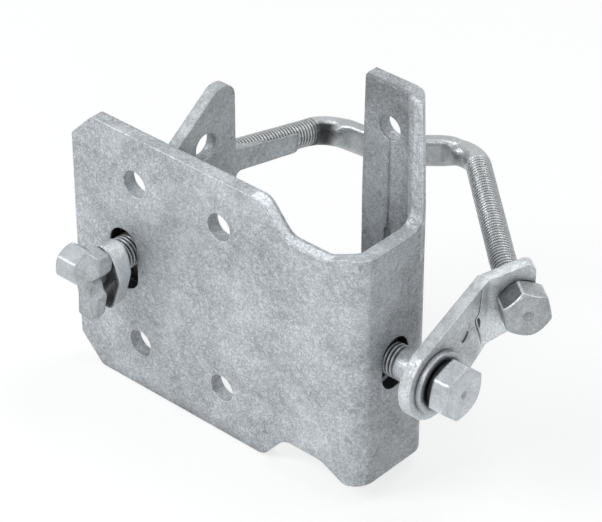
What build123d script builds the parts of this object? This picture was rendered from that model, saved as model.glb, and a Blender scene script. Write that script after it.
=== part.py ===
from build123d import *
import math
import os

# Pole top bracket, hot-dip galvanised steel, in millimetres.
# The origin is the centre of the four-hole pattern on the front face of the plate.
# +Y points to the pole, +Z is up, and the sign or fitting goes on the -Y face.

# Sheet of the bent body
sheet = 7.0
bend_inner = 3.5
bend_outer = bend_inner + sheet

# Front plate
plate_left = -66.5
flange_face = 110.2
plate_chamfer = 13.5
plate_corner_round = 3.0
plate_wide_right = 52.5
neck_left = 68.0
neck_right = 88.0
neck_half_height = 55.0
neck_drop = 15.0
neck_round = 9.0
wide_corner_round = 8.0

# Flange and rear strip
flange_rise = 6.5
strip_back = 49.5
strip_width = 36.3
strip_top = 125.1
strip_taper_left = 1.2
strip_taper_right = 2.2
strip_edge_y = 41.0
strip_edge_fillet = 8.0
strip_corner_round = 4.0
strip_hole_d = 12.0
strip_hole_inset = 21.1
strip_hole_z = 103.1
crease_width = 1.4
crease_depth = 0.8
vent_width = 4.6
vent_length = 16.0
vent_top_z = 52.0

# Holes and slots in the plate and the flange
hole_d = 14.0
hole_pitch_x = 52.8
hole_pitch_z = 89.4
slot_width = 17.6
plate_slot_length = 33.0
plate_slot_x = -35.0
flange_slot_length = 27.0
flange_slot_z = -2.0
link_bolt_y = 24.25
link_bolt_z = 0.0

# Ear plate with its tongue, welded to the back of the front plate
ear_sheet = 6.0
ear_right = -4.5
ear_back = 44.5
ear_top = 89.0
ear_bottom = 25.0
ear_tip_round = 7.5
ear_slope_back_y = 33.5
ear_slope_top_z = 89.0
ear_hole_d = 13.2
ear_hole_y = 25.1
ear_hole_z = 62.6
tongue_slope = 0.254
rod_slope = 0.242
tongue_top_z = 52.0
tongue_height = 12.1
tongue_end_y = 88.5
tongue_end_height = 10.4
tongue_root_fillet = 3.0
weld_leg = 5.0
bow_weld_start = 6.0
bow_weld_length = 23.0

# Bow: a threaded rod bent round the pole, with a flattened saddle
rod_d = 12.5
rod_gap = 0.05
rod_front_y = 43.5
rod_lift = 2.9
bow_back_y = 122.6
bow_dent = (18.3, 125.9)
bow_right = (50.1, 153.2)
bow_knee = (119.8, 87.7)
cap_face = (152.7, 63.3)
bow_left_bend = 15.0
bow_right_bend = 16.0
bow_dent_bend = 44.0
knee_bend = 90.0
saddle_height = 15.2
oval_thick = 11.4
oval_height = 14.2
oval_round = 5.2
oval_taper = 4.0
saddle_thick = 7.0
saddle_round = 2.6
saddle_taper = 5.0

# Closed hex nut at the end of the bow
cap_flats = 21.4
cap_height = 12.2
cap_base_d = 21.0
cap_base_thick = 1.2
cap_bore_depth = 8.0
thread_clear = 0.1

# Cranked link
link_thick = 6.0
link_half_width = 19.0
link_face = 134.0
link_fold_top_z = 36.0
link_fold_low_z = 1.6
link_top_slope = 0.34
link_low_slope = 0.54
link_back_slope = 0.2
link_hole_gap = 0.25
link_end = 6.6
link_end_round = 4.0
link_bend_inner = 3.0

# M16 fasteners
m16_d = 16.0
m16_flats = 24.0
m16_head = 9.1
m16_head_turn = -13.0
m16_nut = 13.0
washer_d = 30.4
narrow_washer_d = 27.0
back_washer_d = 40.0
washer_thick = 3.0
washer_bore = 17.0
spring_washer_d = 23.4
spring_washer_thick = 3.0
link_bolt_end = 82.0
hole_clear = 0.5

# Clamp stud on the plate slot
stud_x = -35.0
stud_z = 3.5
stud_back = 27.0
stud_shank_d = 16.0
collar_back = -11.0
collar_front = -19.5
jaw_back = -23.5
jaw_middle = -27.5
jaw_front = -30.0
stub_y = -21.0
stub_z = 3.0
stub_flats = 17.2
stub_turn = -9.0
stub_left = -50.8
stub_inner = -38.9
stub_right = -33.0
stub_neck_back = -20.2

# Outlines of the forged pieces on the clamp stud, as X and Z from the stud's axis
collar_front_outline = [
    (-3.3, 8.8),
    (3.9, 15.7),
    (10.2, 12.6),
    (13.6, 8.6),
    (15.0, 4.0),
    (16.8, 0.0),
    (14.4, -7.1),
    (11.4, -15.9),
    (9.7, -18.0),
    (2.0, -17.0),
    (-3.3, -11.5),
]
collar_back_outline = [
    (-3.3, 8.5),
    (3.7, 15.5),
    (9.5, 16.3),
    (12.3, 14.8),
    (14.9, 9.7),
    (16.1, 1.7),
    (13.1, -8.5),
    (11.3, -14.1),
    (7.3, -19.5),
    (1.5, -18.0),
    (-3.3, -11.5),
]
finger_front = [
    (5.8, 18.0),
    (15.4, 17.3),
    (15.3, 14.6),
    (14.6, 9.3),
    (11.9, 5.3),
    (8.0, 2.1),
    (-3.1, 1.1),
    (-1.9, 6.7),
]
finger_back = [
    (5.5, 18.8),
    (15.0, 17.7),
    (16.9, 14.5),
    (15.8, 9.2),
    (12.6, 5.5),
    (9.4, 2.7),
    (-2.5, 1.1),
    (-1.5, 6.7),
]
lobe_front = [
    (8.0, 1.2),
    (8.0, -4.9),
    (8.1, -11.2),
    (8.4, -19.2),
    (5.0, -20.1),
    (-0.7, -18.9),
    (-0.3, -6.0),
    (-2.2, 1.2),
]
lobe_middle = [
    (8.4, 1.2),
    (7.8, -2.9),
    (11.2, -7.6),
    (9.2, -18.1),
    (5.0, -21.3),
    (-0.7, -19.3),
    (-0.5, -6.0),
    (-2.2, 1.2),
]
lobe_back = [
    (9.4, 1.2),
    (10.4, -3.1),
    (12.6, -6.1),
    (10.4, -16.7),
    (4.0, -25.0),
    (-0.7, -20.5),
    (-0.7, -6.0),
    (-2.2, 1.2),
]

# Worked out from the driving sizes
plate_half_height = neck_half_height + neck_drop
flange_half_height = neck_half_height + flange_rise
ear_left = ear_right - ear_sheet
rod_x = ear_left - rod_d / 2 - rod_gap
bow_z = tongue_top_z + rod_lift - tongue_slope * bow_back_y
strip_left = flange_face - strip_width
strip_front = strip_back - sheet
strip_hole_x = flange_face - strip_hole_inset
link_bolt_head = link_face + washer_thick + spring_washer_thick


def prism_y(points, y_front, y_back):
    """A flat outline in X and Z, carried from y_front to y_back."""
    face = make_face(Polyline(*[(x, y_front, z) for x, z in points], close=True))
    return extrude(face, amount=y_back - y_front, dir=(0, 1, 0))


def prism_x(points, x_left, x_right):
    """A flat outline in Y and Z, carried from x_left to x_right."""
    face = make_face(Polyline(*[(x_left, y, z) for y, z in points], close=True))
    return extrude(face, amount=x_right - x_left, dir=(1, 0, 0))


def rounded(solid, radius, places):
    """Rounds the edges of a prism whose middles lie nearest to the given points."""
    edges = ShapeList(
        min(solid.edges(), key=lambda e, p=p: (e.center() - Vector(*p)).length) for p in places
    )
    return fillet(edges, radius)


def rod_y(diameter, x, z, y_front, y_back):
    """A round bar or bore along Y."""
    disc = Plane(origin=(x, y_front, z), x_dir=(1, 0, 0), z_dir=(0, 1, 0)) * Circle(diameter / 2)
    return extrude(disc, amount=y_back - y_front)


def rod_x_bar(diameter, y, z, x_left, x_right):
    """A round bar or bore along X."""
    disc = Plane(origin=(x_left, y, z), x_dir=(0, 1, 0), z_dir=(1, 0, 0)) * Circle(diameter / 2)
    return extrude(disc, amount=x_right - x_left)


def hex_bar(plane, flats, height, chamfer_front, chamfer_back, turn=0.0):
    """A hexagon of the given width across flats with turned chamfers on its ends."""
    body = extrude(plane * Rot(0, 0, turn) * RegularPolygon(flats / 2, 6, major_radius=False), amount=height)
    corner = flats / math.sqrt(3)
    reach = corner - flats / 2 + 0.4
    rise = reach * math.tan(math.radians(30))
    edge = corner + 0.4
    profile = [(0, 0)]
    if chamfer_back:
        profile += [(edge - reach, 0), (edge, rise)]
    else:
        profile += [(edge, 0)]
    if chamfer_front:
        profile += [(edge, height - rise), (edge - reach, height)]
    else:
        profile += [(edge, height)]
    profile += [(0, height)]
    face = make_face(Polyline(*[(r, 0, h) for r, h in profile], close=True))
    turned = plane.location * revolve(face, Axis.Z, 360)
    return body & turned


def slot_cutter_y(width, length, x, z):
    """An upright slot that goes through the front plate."""
    plane = Plane(origin=(x, -1, z), x_dir=(0, 0, 1), z_dir=(0, 1, 0))
    return extrude(plane * SlotOverall(length, width), amount=sheet + 2)


def slot_cutter_x(width, length, y, z):
    """An upright slot that goes through the flange."""
    plane = Plane(origin=(flange_face - sheet - 1, y, z), x_dir=(0, 0, 1), z_dir=(1, 0, 0))
    return extrude(plane * SlotOverall(length, width), amount=sheet + 2)


def section_front():
    """Plan of the front plate with its bend, up to where the flange runs straight."""
    inner = flange_face - sheet
    lines = Line((plate_left, 0), (flange_face - bend_outer, 0))
    lines += RadiusArc((flange_face - bend_outer, 0), (flange_face, bend_outer), -bend_outer)
    lines += Line((flange_face, bend_outer), (inner, bend_outer))
    lines += RadiusArc((inner, bend_outer), (inner - bend_inner, sheet), bend_inner)
    lines += Polyline((inner - bend_inner, sheet), (plate_left, sheet), (plate_left, 0))
    return make_face(lines)


def section_side(left, right, z):
    """Plan of the flange with its rear bend and the strip, between two X limits at a height."""
    inner = right - sheet
    bend_start = strip_back - bend_outer
    lines = Line((inner, bend_outer), (right, bend_outer))
    lines += Line((right, bend_outer), (right, bend_start))
    lines += RadiusArc((right, bend_start), (right - bend_outer, strip_back), -bend_outer)
    lines += Polyline(
        (right - bend_outer, strip_back),
        (left, strip_back),
        (left, strip_front),
        (inner - bend_inner, strip_front),
    )
    lines += RadiusArc((inner - bend_inner, strip_front), (inner, bend_start), bend_inner)
    lines += Line((inner, bend_start), (inner, bend_outer))
    return Pos(0, 0, z) * make_face(lines)


def plate_outline():
    """Front view of the plate: chamfered left corners, a waisted neck and the bend's height."""
    right = flange_face + 1
    bend_start = flange_face - bend_outer + 2
    top = [
        (plate_left, plate_half_height - plate_chamfer),
        (plate_left + plate_chamfer, plate_half_height),
        (plate_wide_right, plate_half_height),
        (neck_left - 2.5, neck_half_height),
        (neck_right, neck_half_height),
        (bend_start, flange_half_height),
        (right, flange_half_height),
    ]
    radii = [
        plate_corner_round,
        plate_corner_round,
        wide_corner_round,
        neck_round,
        neck_round,
        neck_round,
    ]
    bottom = [(x, -z) for x, z in reversed(top)]
    path = [(x, 0, z) for x, z in top + bottom]
    corners = [radii[0]] + radii[1:] + [0.0, 0.0] + list(reversed(radii[1:])) + [radii[0]]
    face = make_face(Polyline(*path, close=True))
    plate = extrude(face, amount=sheet * 2 + bend_outer, dir=(0, 1, 0))
    plate = Pos(0, -1, 0) * plate
    middle = sheet + bend_outer / 2 - 1
    for (x, _, z), radius in zip(path, corners):
        if radius > 0:
            plate = rounded(plate, radius, [(x, middle, z)])
    return plate


def side_outline():
    """Side view of the flange and the strip that rises from its rear edge."""
    far = strip_back + 1
    near = bend_outer - 1
    points = [
        (near, -flange_half_height),
        (far, -flange_half_height),
        (far, strip_top),
        (strip_edge_y, strip_top),
        (strip_edge_y, flange_half_height),
        (near, flange_half_height),
    ]
    left = strip_left - 1
    right = flange_face + 1
    side = prism_x(points, left, right)
    middle = (left + right) / 2
    side = rounded(side, strip_edge_fillet, [(middle, strip_edge_y, flange_half_height)])
    return rounded(side, strip_corner_round, [(middle, strip_edge_y, strip_top)])


def hole_places():
    """Centres of the four holes in the front plate."""
    return [(i * hole_pitch_x / 2, j * hole_pitch_z / 2) for i in (-1, 1) for j in (-1, 1)]


def make_body():
    """The bent body: plate, flange and strip from one sheet."""
    tall = 2 * strip_top + 20
    low = Pos(0, 0, -tall / 2)
    front = low * extrude(section_front(), amount=tall) & plate_outline()
    bottom = -flange_half_height - 1
    taper_z = flange_half_height + strip_edge_fillet
    straight = section_side(strip_left, flange_face, bottom)
    upright = extrude(straight, amount=taper_z - bottom)
    wide = section_side(strip_left, flange_face, taper_z)
    narrow = section_side(strip_left + strip_taper_left, flange_face - strip_taper_right, strip_top + 1)
    side = upright + loft([wide, narrow], ruled=True)
    side = side & side_outline()
    body = front + side
    for x, z in hole_places():
        body -= rod_y(hole_d, x, z, -1, sheet + 1)
    body -= slot_cutter_y(slot_width, plate_slot_length, plate_slot_x, 0)
    body -= slot_cutter_x(slot_width, flange_slot_length, link_bolt_y, flange_slot_z)
    body -= rod_y(strip_hole_d, strip_hole_x, strip_hole_z, strip_front - 1, strip_back + 1)
    vent_z = vent_top_z - vent_length / 2
    vent = Plane(origin=(strip_hole_x, strip_front - 1, vent_z), x_dir=(0, 0, 1), z_dir=(0, 1, 0))
    body -= extrude(vent * SlotOverall(vent_length, vent_width), amount=sheet + 2)
    groove = [
        (strip_hole_x - crease_width / 2, strip_front),
        (strip_hole_x + crease_width / 2, strip_front),
        (strip_hole_x, strip_front + crease_depth),
    ]
    crease = make_face(Polyline(*[(x, y, vent_z) for x, y in groove], close=True))
    body -= extrude(crease, amount=strip_hole_z - vent_z, dir=(0, 0, 1))
    return body


def tongue_top(y):
    """Height of the tongue's upper edge at a depth."""
    return tongue_top_z - tongue_slope * (y - ear_back)


def make_ear():
    """The ear plate: a sloped upper horn and a tongue that carries the bow."""
    tongue_foot = tongue_top(ear_back) - tongue_height
    points = [
        (sheet, ear_bottom),
        (ear_back, ear_bottom),
        (ear_back, tongue_foot),
        (tongue_end_y, tongue_top(tongue_end_y) - tongue_end_height),
        (tongue_end_y, tongue_top(tongue_end_y)),
        (ear_back, tongue_top_z),
        (ear_back, ear_top),
        (ear_slope_back_y, ear_slope_top_z),
        (sheet, plate_half_height),
    ]
    ear = prism_x(points, ear_left, ear_right)
    mid = (ear_left + ear_right) / 2
    ear = rounded(ear, tongue_root_fillet, [(mid, ear_back, tongue_foot)])
    ear = rounded(ear, 1.0, [(mid, ear_back, tongue_top_z)])
    ear = rounded(ear, 3.5, [(mid, tongue_end_y, tongue_top(tongue_end_y) - tongue_end_height)])
    ear = rounded(ear, 2.0, [(mid, tongue_end_y, tongue_top(tongue_end_y))])
    ear = rounded(ear, ear_tip_round, [(mid, ear_back, ear_top)])
    ear = rounded(ear, 6.0, [(mid, ear_slope_back_y, ear_slope_top_z)])
    ear = rounded(ear, 8.0, [(mid, ear_back, ear_bottom)])
    return ear - rod_x_bar(ear_hole_d, ear_hole_y, ear_hole_z, ear_left - 1, ear_right + 1)


def make_ear_weld(face_x, side):
    """A fillet weld along one face of the ear, on the back of the plate."""
    points = [
        (face_x, sheet),
        (face_x + side * weld_leg, sheet),
        (face_x + side * weld_leg * 0.42, sheet + weld_leg * 0.42),
        (face_x, sheet + weld_leg),
    ]
    face = make_face(Polyline(*[(x, y, ear_bottom + 3) for x, y in points], close=True))
    return extrude(face, amount=plate_half_height - 6 - ear_bottom, dir=(0, 0, 1))


def unit(a, b):
    """Unit vector from one point to another."""
    step = Vector(*b) - Vector(*a)
    return step / step.length


def bow_points():
    """Corners of the bow's centre line, from the tongue to the inside of the closed nut."""
    front_z = bow_z + rod_slope * (bow_back_y - rod_front_y)
    start = (rod_x, rod_front_y, front_z)
    left = (rod_x, bow_back_y, bow_z)
    dent = (bow_dent[0], bow_dent[1], bow_z)
    right = (bow_right[0], bow_right[1], bow_z)
    knee = (bow_knee[0], bow_knee[1], bow_z)
    nose = Vector(cap_face[0], cap_face[1], bow_z) - cap_axis() * (cap_height - cap_bore_depth)
    return start, left, dent, right, knee, (nose.X, nose.Y, nose.Z)


def cap_axis():
    """Direction of the bow's last stretch, through the link and into the closed nut."""
    return unit((bow_knee[0], bow_knee[1], bow_z), (cap_face[0], cap_face[1], bow_z))


def tangent_point(corner, toward, radius, other):
    """Where an arc of the given radius leaves the line from a corner toward a point."""
    a = unit(corner, toward)
    b = unit(corner, other)
    half = math.radians(a.get_angle(b)) / 2
    return Vector(*corner) + a * (radius / math.tan(half))


def section_plane(point, along):
    """A plane across the bow at a point, with its local Y upright."""
    across = Vector(0, 0, 1).cross(along)
    return Plane(origin=point, x_dir=across, z_dir=along)


def make_bow():
    """The bow: two round threaded legs and a flattened saddle, as one bent rod."""
    start, left, dent, right, knee, nose = bow_points()
    bar_in = unit(left, dent)
    bar_out = unit(dent, right)
    left_end = tangent_point(left, dent, bow_left_bend, start)
    right_end = tangent_point(right, dent, bow_right_bend, knee)
    leg_in = unit(start, left)
    bend_start = tangent_point(left, start, bow_left_bend, dent) - leg_in * 0.5
    oval_start = bend_start - leg_in * oval_taper
    leg_path = Line(start, oval_start)
    bend_path = FilletPolyline(bend_start, left, left_end + bar_in * 0.5, radius=bow_left_bend)
    oval = RectangleRounded(oval_thick, oval_height, oval_round)
    round_bar = Circle(rod_d / 2)
    right_path = FilletPolyline(
        right_end - bar_out * 0.5, right, knee, nose, radius=[bow_right_bend, knee_bend]
    )
    left_leg = sweep(section_plane(Vector(*start), leg_in) * round_bar, path=leg_path)
    left_leg += loft([section_plane(oval_start, leg_in) * round_bar, section_plane(bend_start, leg_in) * oval])
    left_leg += sweep(section_plane(bend_start, leg_in) * oval, path=bend_path)
    right_start = right_end - bar_out * 0.5
    right_leg = sweep(section_plane(right_start, bar_out) * round_bar, path=right_path)
    flat_start = left_end + bar_in * (saddle_taper + 0.5)
    flat_end = right_end - bar_out * (saddle_taper + 0.5)
    bar_path = FilletPolyline(flat_start, dent, flat_end, radius=bow_dent_bend)
    flat = RectangleRounded(saddle_thick, saddle_height, saddle_round)
    bar = sweep(section_plane(flat_start, bar_in) * flat, path=bar_path)
    taper_left = loft(
        [section_plane(left_end + bar_in * 0.5, bar_in) * oval, section_plane(flat_start, bar_in) * flat]
    )
    taper_right = loft(
        [section_plane(flat_end, bar_out) * flat, section_plane(right_start, bar_out) * round_bar]
    )
    return left_leg + taper_left + bar + taper_right + right_leg


def make_bow_weld():
    """The weld bead between the top of the bow's left leg and the tongue."""
    start, left, *_ = bow_points()
    along = unit(start, left)
    plane = Plane(origin=Vector(*start) + along * bow_weld_start, x_dir=(-1, 0, 0), z_dir=along)
    reach = rod_d / 2 + rod_gap
    outline = [(-reach, 2.2), (-reach, 5.2), (3.2 - reach, rod_d / 2 + 0.15)]
    face = plane * make_face(Polyline(*outline, close=True))
    bead = extrude(face, amount=bow_weld_length)
    return bead - extrude(plane * Circle(rod_d / 2 + 0.02), amount=bow_weld_length + 1)


def link_fold():
    """Where the link's front face turns from the flange's direction to the bow's."""
    axis = cap_axis()
    base = Vector(cap_face[0], cap_face[1], bow_z) - axis * cap_height
    along = Vector(-axis.Y, axis.X, 0)
    run = (base.X - link_face) / along.X
    return base, along, run


def tangent_touch(y, z, upper):
    """Where the line from a point of the side view touches the link's round lower end."""
    away = math.hypot(y - link_bolt_y, z - link_bolt_z)
    base = math.atan2(z - link_bolt_z, y - link_bolt_y)
    open_angle = math.acos(link_half_width / away)
    angle = base + open_angle if upper else base - open_angle
    return (
        link_bolt_y + link_half_width * math.cos(angle),
        link_bolt_z + link_half_width * math.sin(angle),
    )


def make_link():
    """The cranked link: a strip folded once, with a hole for the bolt and one for the bow."""
    base, along, run = link_fold()
    fold_y = base.Y - along.Y * run
    back = link_face - link_thick
    low_y = link_bolt_y - link_half_width - 1
    bend = math.atan2(along.X, along.Y)
    outer_shift = link_thick * math.tan(bend / 2)
    reach = run + link_end
    end = Vector(link_face, fold_y, 0) + along * reach
    plan = [
        (link_face, low_y),
        (link_face, fold_y),
        (end.X, end.Y),
        (end.X - along.Y * link_thick, end.Y + along.X * link_thick),
        (back, fold_y + outer_shift),
        (back, low_y),
    ]
    flat = make_face(Polyline(*[(x, y, -link_thick * 10) for x, y in plan], close=True))
    strip = extrude(flat, amount=link_thick * 25, dir=(0, 0, 1))
    strip = rounded(strip, link_bend_inner, [(link_face, fold_y, link_thick * 2.5)])
    strip = rounded(strip, link_bend_inner + link_thick, [(back, fold_y + outer_shift, link_thick * 2.5)])
    left = back - link_thick
    right = link_face + link_thick
    touch_top = tangent_touch(fold_y, link_fold_top_z, True)
    touch_low = tangent_touch(fold_y, link_fold_low_z, False)
    join_y = fold_y + 0.01
    lower = prism_x(
        [touch_top, (join_y, link_fold_top_z), (join_y, link_fold_low_z), touch_low], left - 20, right
    )
    round_end = rod_x_bar(2 * link_half_width, link_bolt_y, link_bolt_z, left, right)
    upper_plane = Plane(origin=(link_face, fold_y, 0), x_dir=along, z_dir=(along.Y, -along.X, 0))
    short = -2 * link_thick
    outline = [
        (short, link_fold_top_z + short * link_back_slope),
        (0, link_fold_top_z),
        (reach, link_fold_top_z + reach * link_top_slope),
        (reach, link_fold_low_z + reach * link_low_slope),
        (0, link_fold_low_z),
        (short, link_fold_low_z),
    ]
    upper = extrude(upper_plane * make_face(Polyline(*outline, close=True)), amount=20, both=True)
    top_corner = upper_plane * Pos(*outline[2], 0) * Vertex(0, 0, 0)
    low_corner = upper_plane * Pos(*outline[3], 0) * Vertex(0, 0, 0)
    upper = rounded(upper, link_end_round, [tuple(top_corner.center())])
    upper = rounded(upper, link_end_round, [tuple(low_corner.center())])
    behind_fold = Pos(link_face, fold_y + 50, 0) * Box(200, 100, 200)
    keep = lower + round_end + (upper & behind_fold)
    link = strip & keep
    link -= rod_x_bar(m16_d + 2 * hole_clear, link_bolt_y, link_bolt_z, left, right)
    bore = Plane(origin=base + cap_axis() * 12, x_dir=(0, 0, 1), z_dir=cap_axis() * -1)
    return link - extrude(bore * Circle(rod_d / 2 + link_hole_gap), amount=40)


def make_cap_nut():
    """The closed hex nut on the bow: round base, chamfered face and a centre mark."""
    axis = cap_axis()
    base = Vector(cap_face[0], cap_face[1], bow_z) - axis * cap_height
    plane = Plane(origin=base, x_dir=(0, 0, 1), z_dir=axis)
    collar = extrude(plane * Circle(cap_base_d / 2), amount=cap_base_thick)
    body = hex_bar(plane.offset(cap_base_thick), cap_flats, cap_height - cap_base_thick, True, True, 12)
    nut = collar + body
    nut -= extrude(plane.offset(-1) * Circle(rod_d / 2 + thread_clear), amount=cap_bore_depth + 1.2)
    mark = plane.offset(cap_height - 0.7) * Circle(1.3)
    return nut - extrude(mark, amount=2)


def washer_x(outer, inner, thick, y, z, x_left):
    """A flat washer whose axis runs along X."""
    ring = rod_x_bar(outer, y, z, x_left, x_left + thick)
    ring -= rod_x_bar(inner, y, z, x_left - 1, x_left + thick + 1)
    edges = ring.edges().filter_by(GeomType.CIRCLE).filter_by(lambda e: abs(e.radius - outer / 2) < 0.01)
    return chamfer(edges, 0.5)


def make_link_bolt():
    """The M16 bolt that holds the link's lower end to the flange slot."""
    plane = Plane(origin=(link_bolt_head, link_bolt_y, link_bolt_z), x_dir=(0, 0, 1), z_dir=(1, 0, 0))
    head = hex_bar(plane, m16_flats, m16_head, True, False, m16_head_turn)
    shank = rod_x_bar(m16_d, link_bolt_y, link_bolt_z, link_bolt_end, link_bolt_head)
    shank = chamfer(shank.edges().filter_by(GeomType.CIRCLE).group_by(Axis.X)[0], 1.5)
    mark = extrude(plane.offset(m16_head - 0.5) * Circle(1.0), amount=2)
    return head + shank - mark


def make_spring_washer():
    """A split spring washer under the bolt's head."""
    left = link_face + washer_thick
    y = link_bolt_y
    z = link_bolt_z
    ring = rod_x_bar(spring_washer_d, y, z, left, left + spring_washer_thick)
    ring -= rod_x_bar(washer_bore, y, z, left - 1, left + spring_washer_thick + 1)
    split = Pos(left + spring_washer_thick / 2, y - spring_washer_d / 2, z) * Rot(0, 0, 20) * Box(12, 12, 1.2)
    return ring - split


def make_hex_nut_x(x_left, y, z, turn):
    """An M16 nut whose axis runs along X."""
    plane = Plane(origin=(x_left, y, z), x_dir=(0, 0, 1), z_dir=(1, 0, 0))
    nut = hex_bar(plane, m16_flats, m16_nut, True, True, turn)
    return nut - rod_x_bar(m16_d + 2 * thread_clear, y, z, x_left - 1, x_left + m16_nut + 1)


def make_hex_nut_y(y_front, turn):
    """An M16 nut on the clamp stud."""
    plane = Plane(origin=(stud_x, y_front, stud_z), x_dir=(1, 0, 0), z_dir=(0, 1, 0))
    nut = hex_bar(plane, m16_flats, m16_nut, True, True, turn)
    return nut - rod_y(m16_d + 2 * thread_clear, stud_x, stud_z, y_front - 1, y_front + m16_nut + 1)


def make_stud_washer():
    """The washer behind the plate on the clamp stud."""
    ring = rod_y(back_washer_d, stud_x, stud_z, sheet, sheet + washer_thick)
    ring -= rod_y(washer_bore, stud_x, stud_z, sheet - 1, sheet + washer_thick + 1)
    edges = ring.edges().filter_by(GeomType.CIRCLE).filter_by(lambda e: abs(e.radius - back_washer_d / 2) < 0.01)
    return chamfer(edges, 0.5)


def stud_outline(points, y):
    """An outline round the stud's axis, as a face across it."""
    return make_face(Polyline(*[(stud_x + x, y, stud_z + z) for x, z in points], close=True))


def make_collar():
    """The angular forged collar on the stud, in front of the plate."""
    front = stud_outline(collar_front_outline, collar_front)
    back = stud_outline(collar_back_outline, collar_back)
    collar = loft([front, back], ruled=True)
    return collar - rod_y(stud_shank_d + 2 * thread_clear, stud_x, stud_z, collar_front - 1, collar_back + 1)


def make_clamp_stud():
    """The clamp stud, one forging: threaded shank, notched head and a hexagonal side stub."""
    shank = rod_y(stud_shank_d, stud_x, stud_z, jaw_back - 1, stud_back)
    shank = chamfer(shank.edges().filter_by(GeomType.CIRCLE).group_by(Axis.Y)[-1], 1.5)
    finger = loft([stud_outline(finger_front, jaw_front), stud_outline(finger_back, jaw_back)], ruled=True)
    bevel = loft([stud_outline(lobe_front, jaw_front), stud_outline(lobe_middle, jaw_middle)], ruled=True)
    lobe = loft([stud_outline(lobe_middle, jaw_middle), stud_outline(lobe_back, jaw_back)], ruled=True)
    plane = Plane(origin=(stub_left, stub_y, stub_z), x_dir=(0, 0, 1), z_dir=(1, 0, 0))
    stub = hex_bar(plane, stub_flats, stub_right - stub_left, False, True, stub_turn)
    inner_cut = stub_right - stub_inner
    reach = stub_flats * 2
    stub -= Pos(stub_inner + inner_cut, stub_neck_back + reach / 2, stub_z) * Box(2 * inner_cut, reach, reach)
    return shank + finger + bevel + lobe + stub


nodes = {
    "bracket_body": make_body(),
    "ear_plate": make_ear(),
    "ear_weld_right": make_ear_weld(ear_right, 1),
    "ear_weld_left": make_ear_weld(ear_left, -1),
    "bow": make_bow(),
    "bow_weld": make_bow_weld(),
    "bow_cap_nut": make_cap_nut(),
    "link_plate": make_link(),
    "link_bolt": make_link_bolt(),
    "link_washer": washer_x(washer_d, washer_bore, washer_thick, link_bolt_y, link_bolt_z, link_face),
    "link_spring_washer": make_spring_washer(),
    "flange_washer": washer_x(
        narrow_washer_d,
        washer_bore,
        washer_thick,
        link_bolt_y,
        link_bolt_z,
        flange_face - sheet - washer_thick,
    ),
    "flange_nut": make_hex_nut_x(flange_face - sheet - washer_thick - m16_nut, link_bolt_y, link_bolt_z, 10),
    "clamp_stud": make_clamp_stud(),
    "clamp_collar": make_collar(),
    "clamp_back_washer": make_stud_washer(),
    "clamp_back_nut": make_hex_nut_y(sheet + washer_thick, 15),
}

os.makedirs("parts", exist_ok=True)
for name, shape in nodes.items():
    export_step(shape, f"parts/{name}.step")
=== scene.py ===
import math

import bmesh
import bpy
import numpy as np
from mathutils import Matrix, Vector


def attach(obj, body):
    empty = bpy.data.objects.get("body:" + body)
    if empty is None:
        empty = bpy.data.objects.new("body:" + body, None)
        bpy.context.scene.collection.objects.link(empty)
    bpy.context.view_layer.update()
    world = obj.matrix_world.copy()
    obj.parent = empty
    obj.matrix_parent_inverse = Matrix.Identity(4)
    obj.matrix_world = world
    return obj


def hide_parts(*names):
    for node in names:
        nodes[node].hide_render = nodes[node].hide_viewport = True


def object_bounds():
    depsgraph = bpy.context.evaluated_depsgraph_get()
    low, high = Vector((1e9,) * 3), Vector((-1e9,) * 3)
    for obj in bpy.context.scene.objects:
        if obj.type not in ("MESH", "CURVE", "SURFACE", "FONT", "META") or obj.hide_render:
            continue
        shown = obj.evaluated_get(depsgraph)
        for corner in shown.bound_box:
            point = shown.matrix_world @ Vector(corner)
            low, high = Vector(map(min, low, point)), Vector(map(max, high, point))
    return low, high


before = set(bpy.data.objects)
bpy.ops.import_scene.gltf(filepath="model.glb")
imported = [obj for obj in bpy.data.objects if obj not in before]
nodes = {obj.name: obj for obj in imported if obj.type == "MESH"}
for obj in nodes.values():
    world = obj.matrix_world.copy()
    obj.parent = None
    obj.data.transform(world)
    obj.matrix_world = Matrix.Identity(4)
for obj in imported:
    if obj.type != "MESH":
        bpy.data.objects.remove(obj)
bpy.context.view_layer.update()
scene = bpy.context.scene

# Lengths are in millimetres, in the model's own frame, unless a comment or a name's M says metres.
# The turns and chamfers of the hexagons are in degrees.
MM = 0.001
TURN = 2 * math.pi
OUT = (1, 0, 0)
BACK = (0, 1, 0)
UP = (0, 0, 1)

# Sizes that the fasteners share
FASTENER_FLATS = 24.0
SHANK_RADIUS = 8.0
PITCH = 2.0
THREAD_DEPTH = 0.85
NUT_HEIGHT = 13.0
NUT_BORE_RADIUS = 8.15
WASHER_THICK = 3.0
WASHER_BORE = 17.0

# How far a hexagon's turned outside stands past its corners, and its face's share of its flats
CORNER_SPARE = 0.4
FACE_SHARE = 0.97

# Link bolt, along X
BOLT_HEAD_X = 140.0
BOLT_Y = 24.25
BOLT_Z = 0.0
BOLT_HEAD = 9.6
BOLT_TURN = -13
BOLT_CHAMFER = 24
BOLT_END_X = 82.0
BOLT_THREAD_X = 115.5
LINK_FACE_X = 134.0
FLANGE_INNER_X = 103.2

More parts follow.
